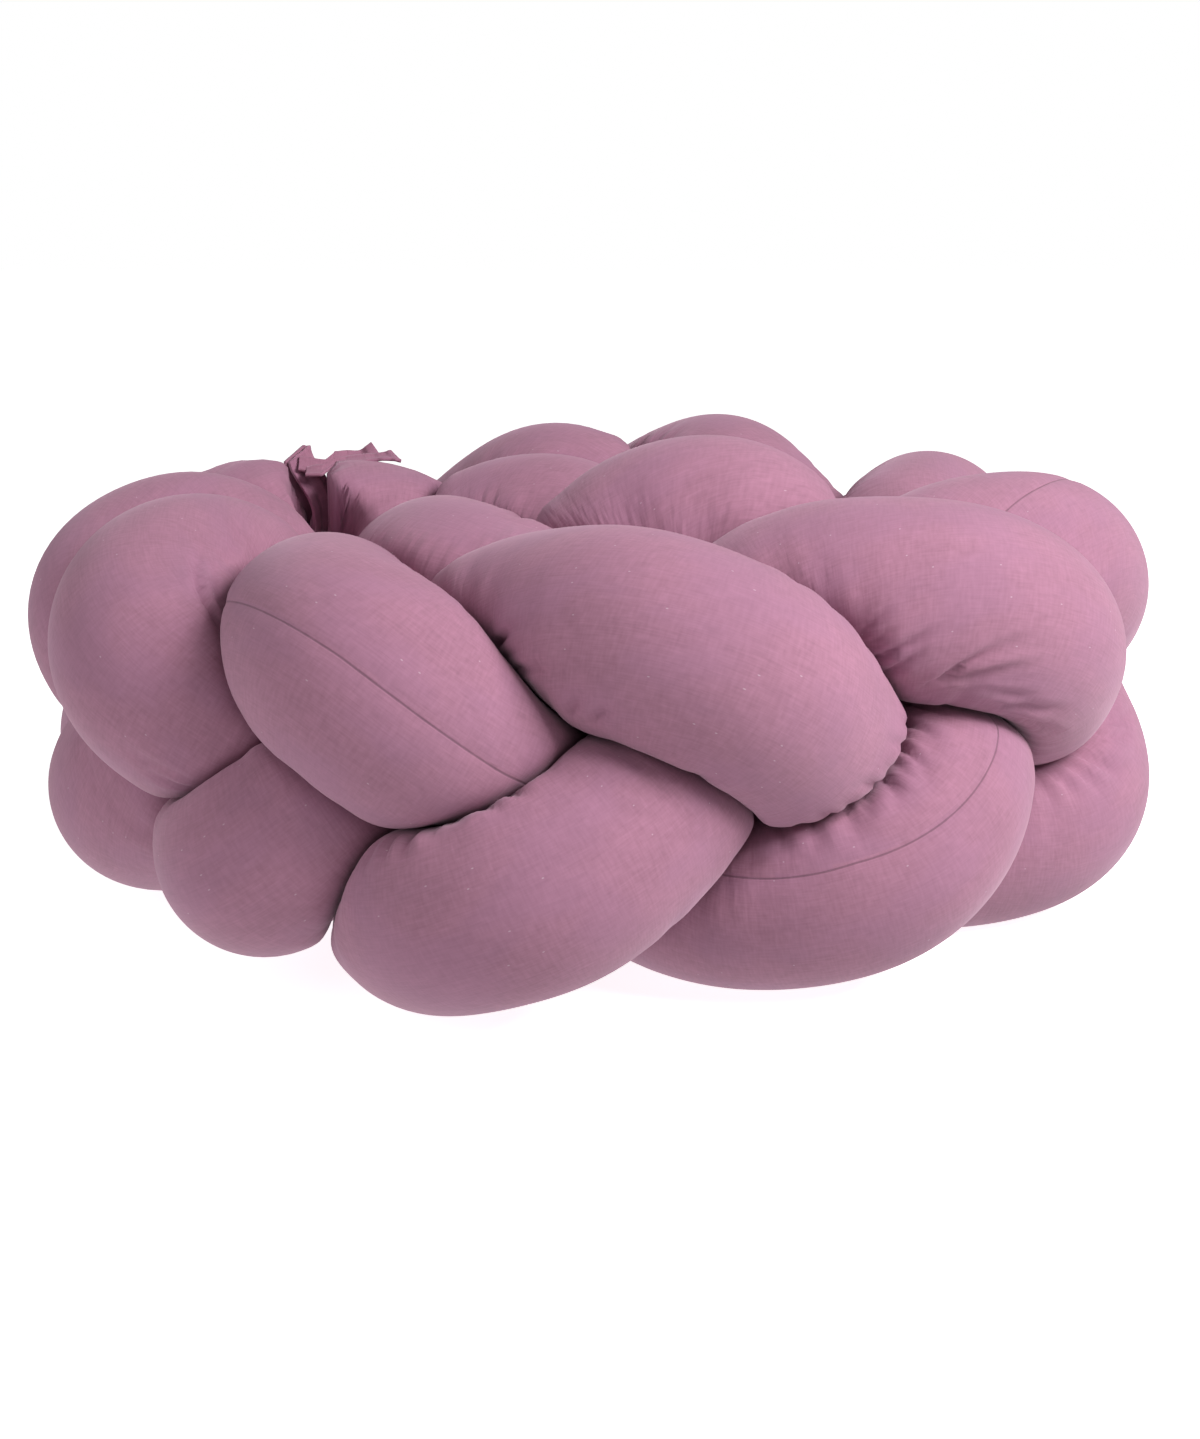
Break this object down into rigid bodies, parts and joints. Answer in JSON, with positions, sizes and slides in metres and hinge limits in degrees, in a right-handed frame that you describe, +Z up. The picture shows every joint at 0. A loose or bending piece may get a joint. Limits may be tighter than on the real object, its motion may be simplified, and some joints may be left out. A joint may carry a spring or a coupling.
{
  "type": "braided crib bumper",
  "caption": "Soft bumper of filled cloth tubes plaited into a thick flat braid, stood on edge and coiled, with a banded end and short ties.",
  "frame": {"origin": "middle of the bounding box, on the surface the coil rests on", "axes": "+Z up out of the surface; -Y towards the picture's front; +X towards the picture's right"},
  "size_m": [0.5654, 0.5654, 0.232],
  "materials": {
    "tube_cloth": "matte plain weave",
    "band_cloth": "matte plain weave",
    "tie_cloth": "matte plain weave"
  },
  "bodies": {
    "root": {"strand_a": "tube_cloth", "strand_b": "tube_cloth", "strand_c": "tube_cloth", "end_band": "band_cloth", "tie_upper": "tie_cloth", "tie_lower": "tie_cloth"}
  },
  "joints": []
}
